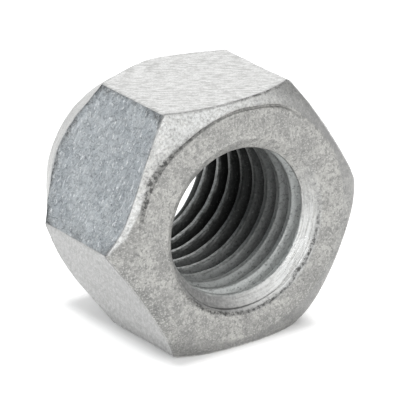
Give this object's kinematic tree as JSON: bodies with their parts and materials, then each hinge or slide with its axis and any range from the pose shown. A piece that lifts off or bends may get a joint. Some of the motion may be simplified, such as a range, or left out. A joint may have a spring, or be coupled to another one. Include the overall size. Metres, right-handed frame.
{
  "type": "hex nut",
  "caption": "Thick galvanised steel hex nut with a right-hand metric thread, a flat bearing end and a conical seat end.",
  "frame": {"origin": "on the thread axis, at half the nut's height, which is the centre of the bounding box", "axes": "+Y runs along the thread axis from the flat bearing end to the conical seat end, +X runs across the corners, and +Z is square to the flat that faces up, with the nut standing on the opposite flat"},
  "size_m": [0.0344, 0.024, 0.03],
  "materials": {
    "galvanised_zinc": "dull hot-dip zinc, mottled light grey, with fine drawn scratches on the flats and a darker thread"
  },
  "bodies": {
    "root": {"hex_nut": "galvanised_zinc"}
  },
  "joints": []
}
